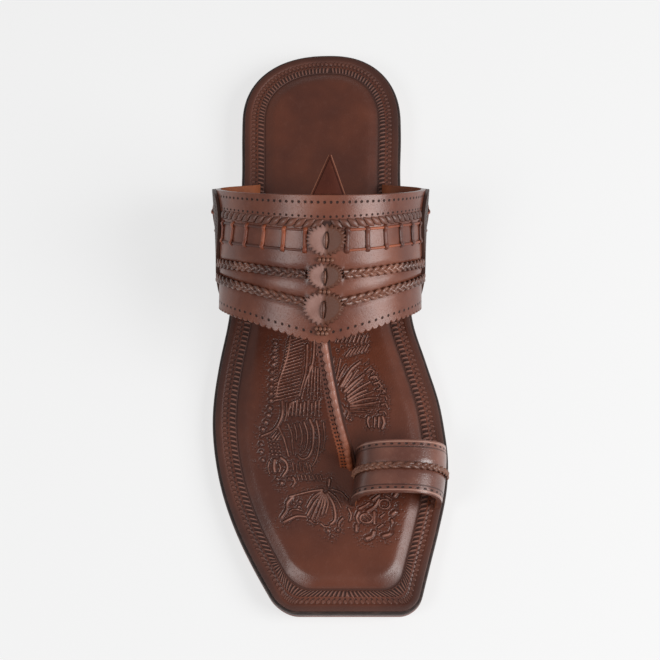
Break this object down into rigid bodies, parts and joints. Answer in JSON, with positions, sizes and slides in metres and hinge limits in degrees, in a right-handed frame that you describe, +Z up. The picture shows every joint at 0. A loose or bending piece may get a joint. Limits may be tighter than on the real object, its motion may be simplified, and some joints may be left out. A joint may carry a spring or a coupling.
{
  "type": "kolhapuri chappal",
  "caption": "Flat leather toe-loop sandal for the right foot: an arched instep band, a centre strap and a big toe loop over a layered sole with a padded insole and a low heel.",
  "frame": {"origin": "middle of the shoe's box, on the floor that it stands on", "axes": "+Z up, -Y towards the toes, +Y towards the heel, +X towards the big toe side"},
  "size_m": [0.1132, 0.2879, 0.0918],
  "materials": {
    "outsole": "matt moulded rubber, pinkish brown",
    "midsole": "burnished leather board edge, nearly black",
    "insole": "polished reddish brown leather with stamped border and tooling",
    "strap": "polished brown leather with cut and pinked edges",
    "thong": "orange-brown leather thong",
    "braid": "plaited brown leather"
  },
  "bodies": {
    "root": {"outsole": "outsole", "midsole": "midsole", "insole": "insole", "upper": "strap", "side_panel_lateral": "strap", "side_panel_medial": "strap", "band_lacing_lateral": "thong", "band_lacing_medial": "thong", "panel_lacing_lateral": "thong", "panel_lacing_medial": "thong", "braid_rear_lateral": "braid", "braid_rear_medial": "braid", "braid_front_lateral": "braid", "braid_front_medial": "braid", "centre_spine": "strap", "peak_tab": "strap", "toe_loop_cord": "braid"}
  },
  "joints": []
}
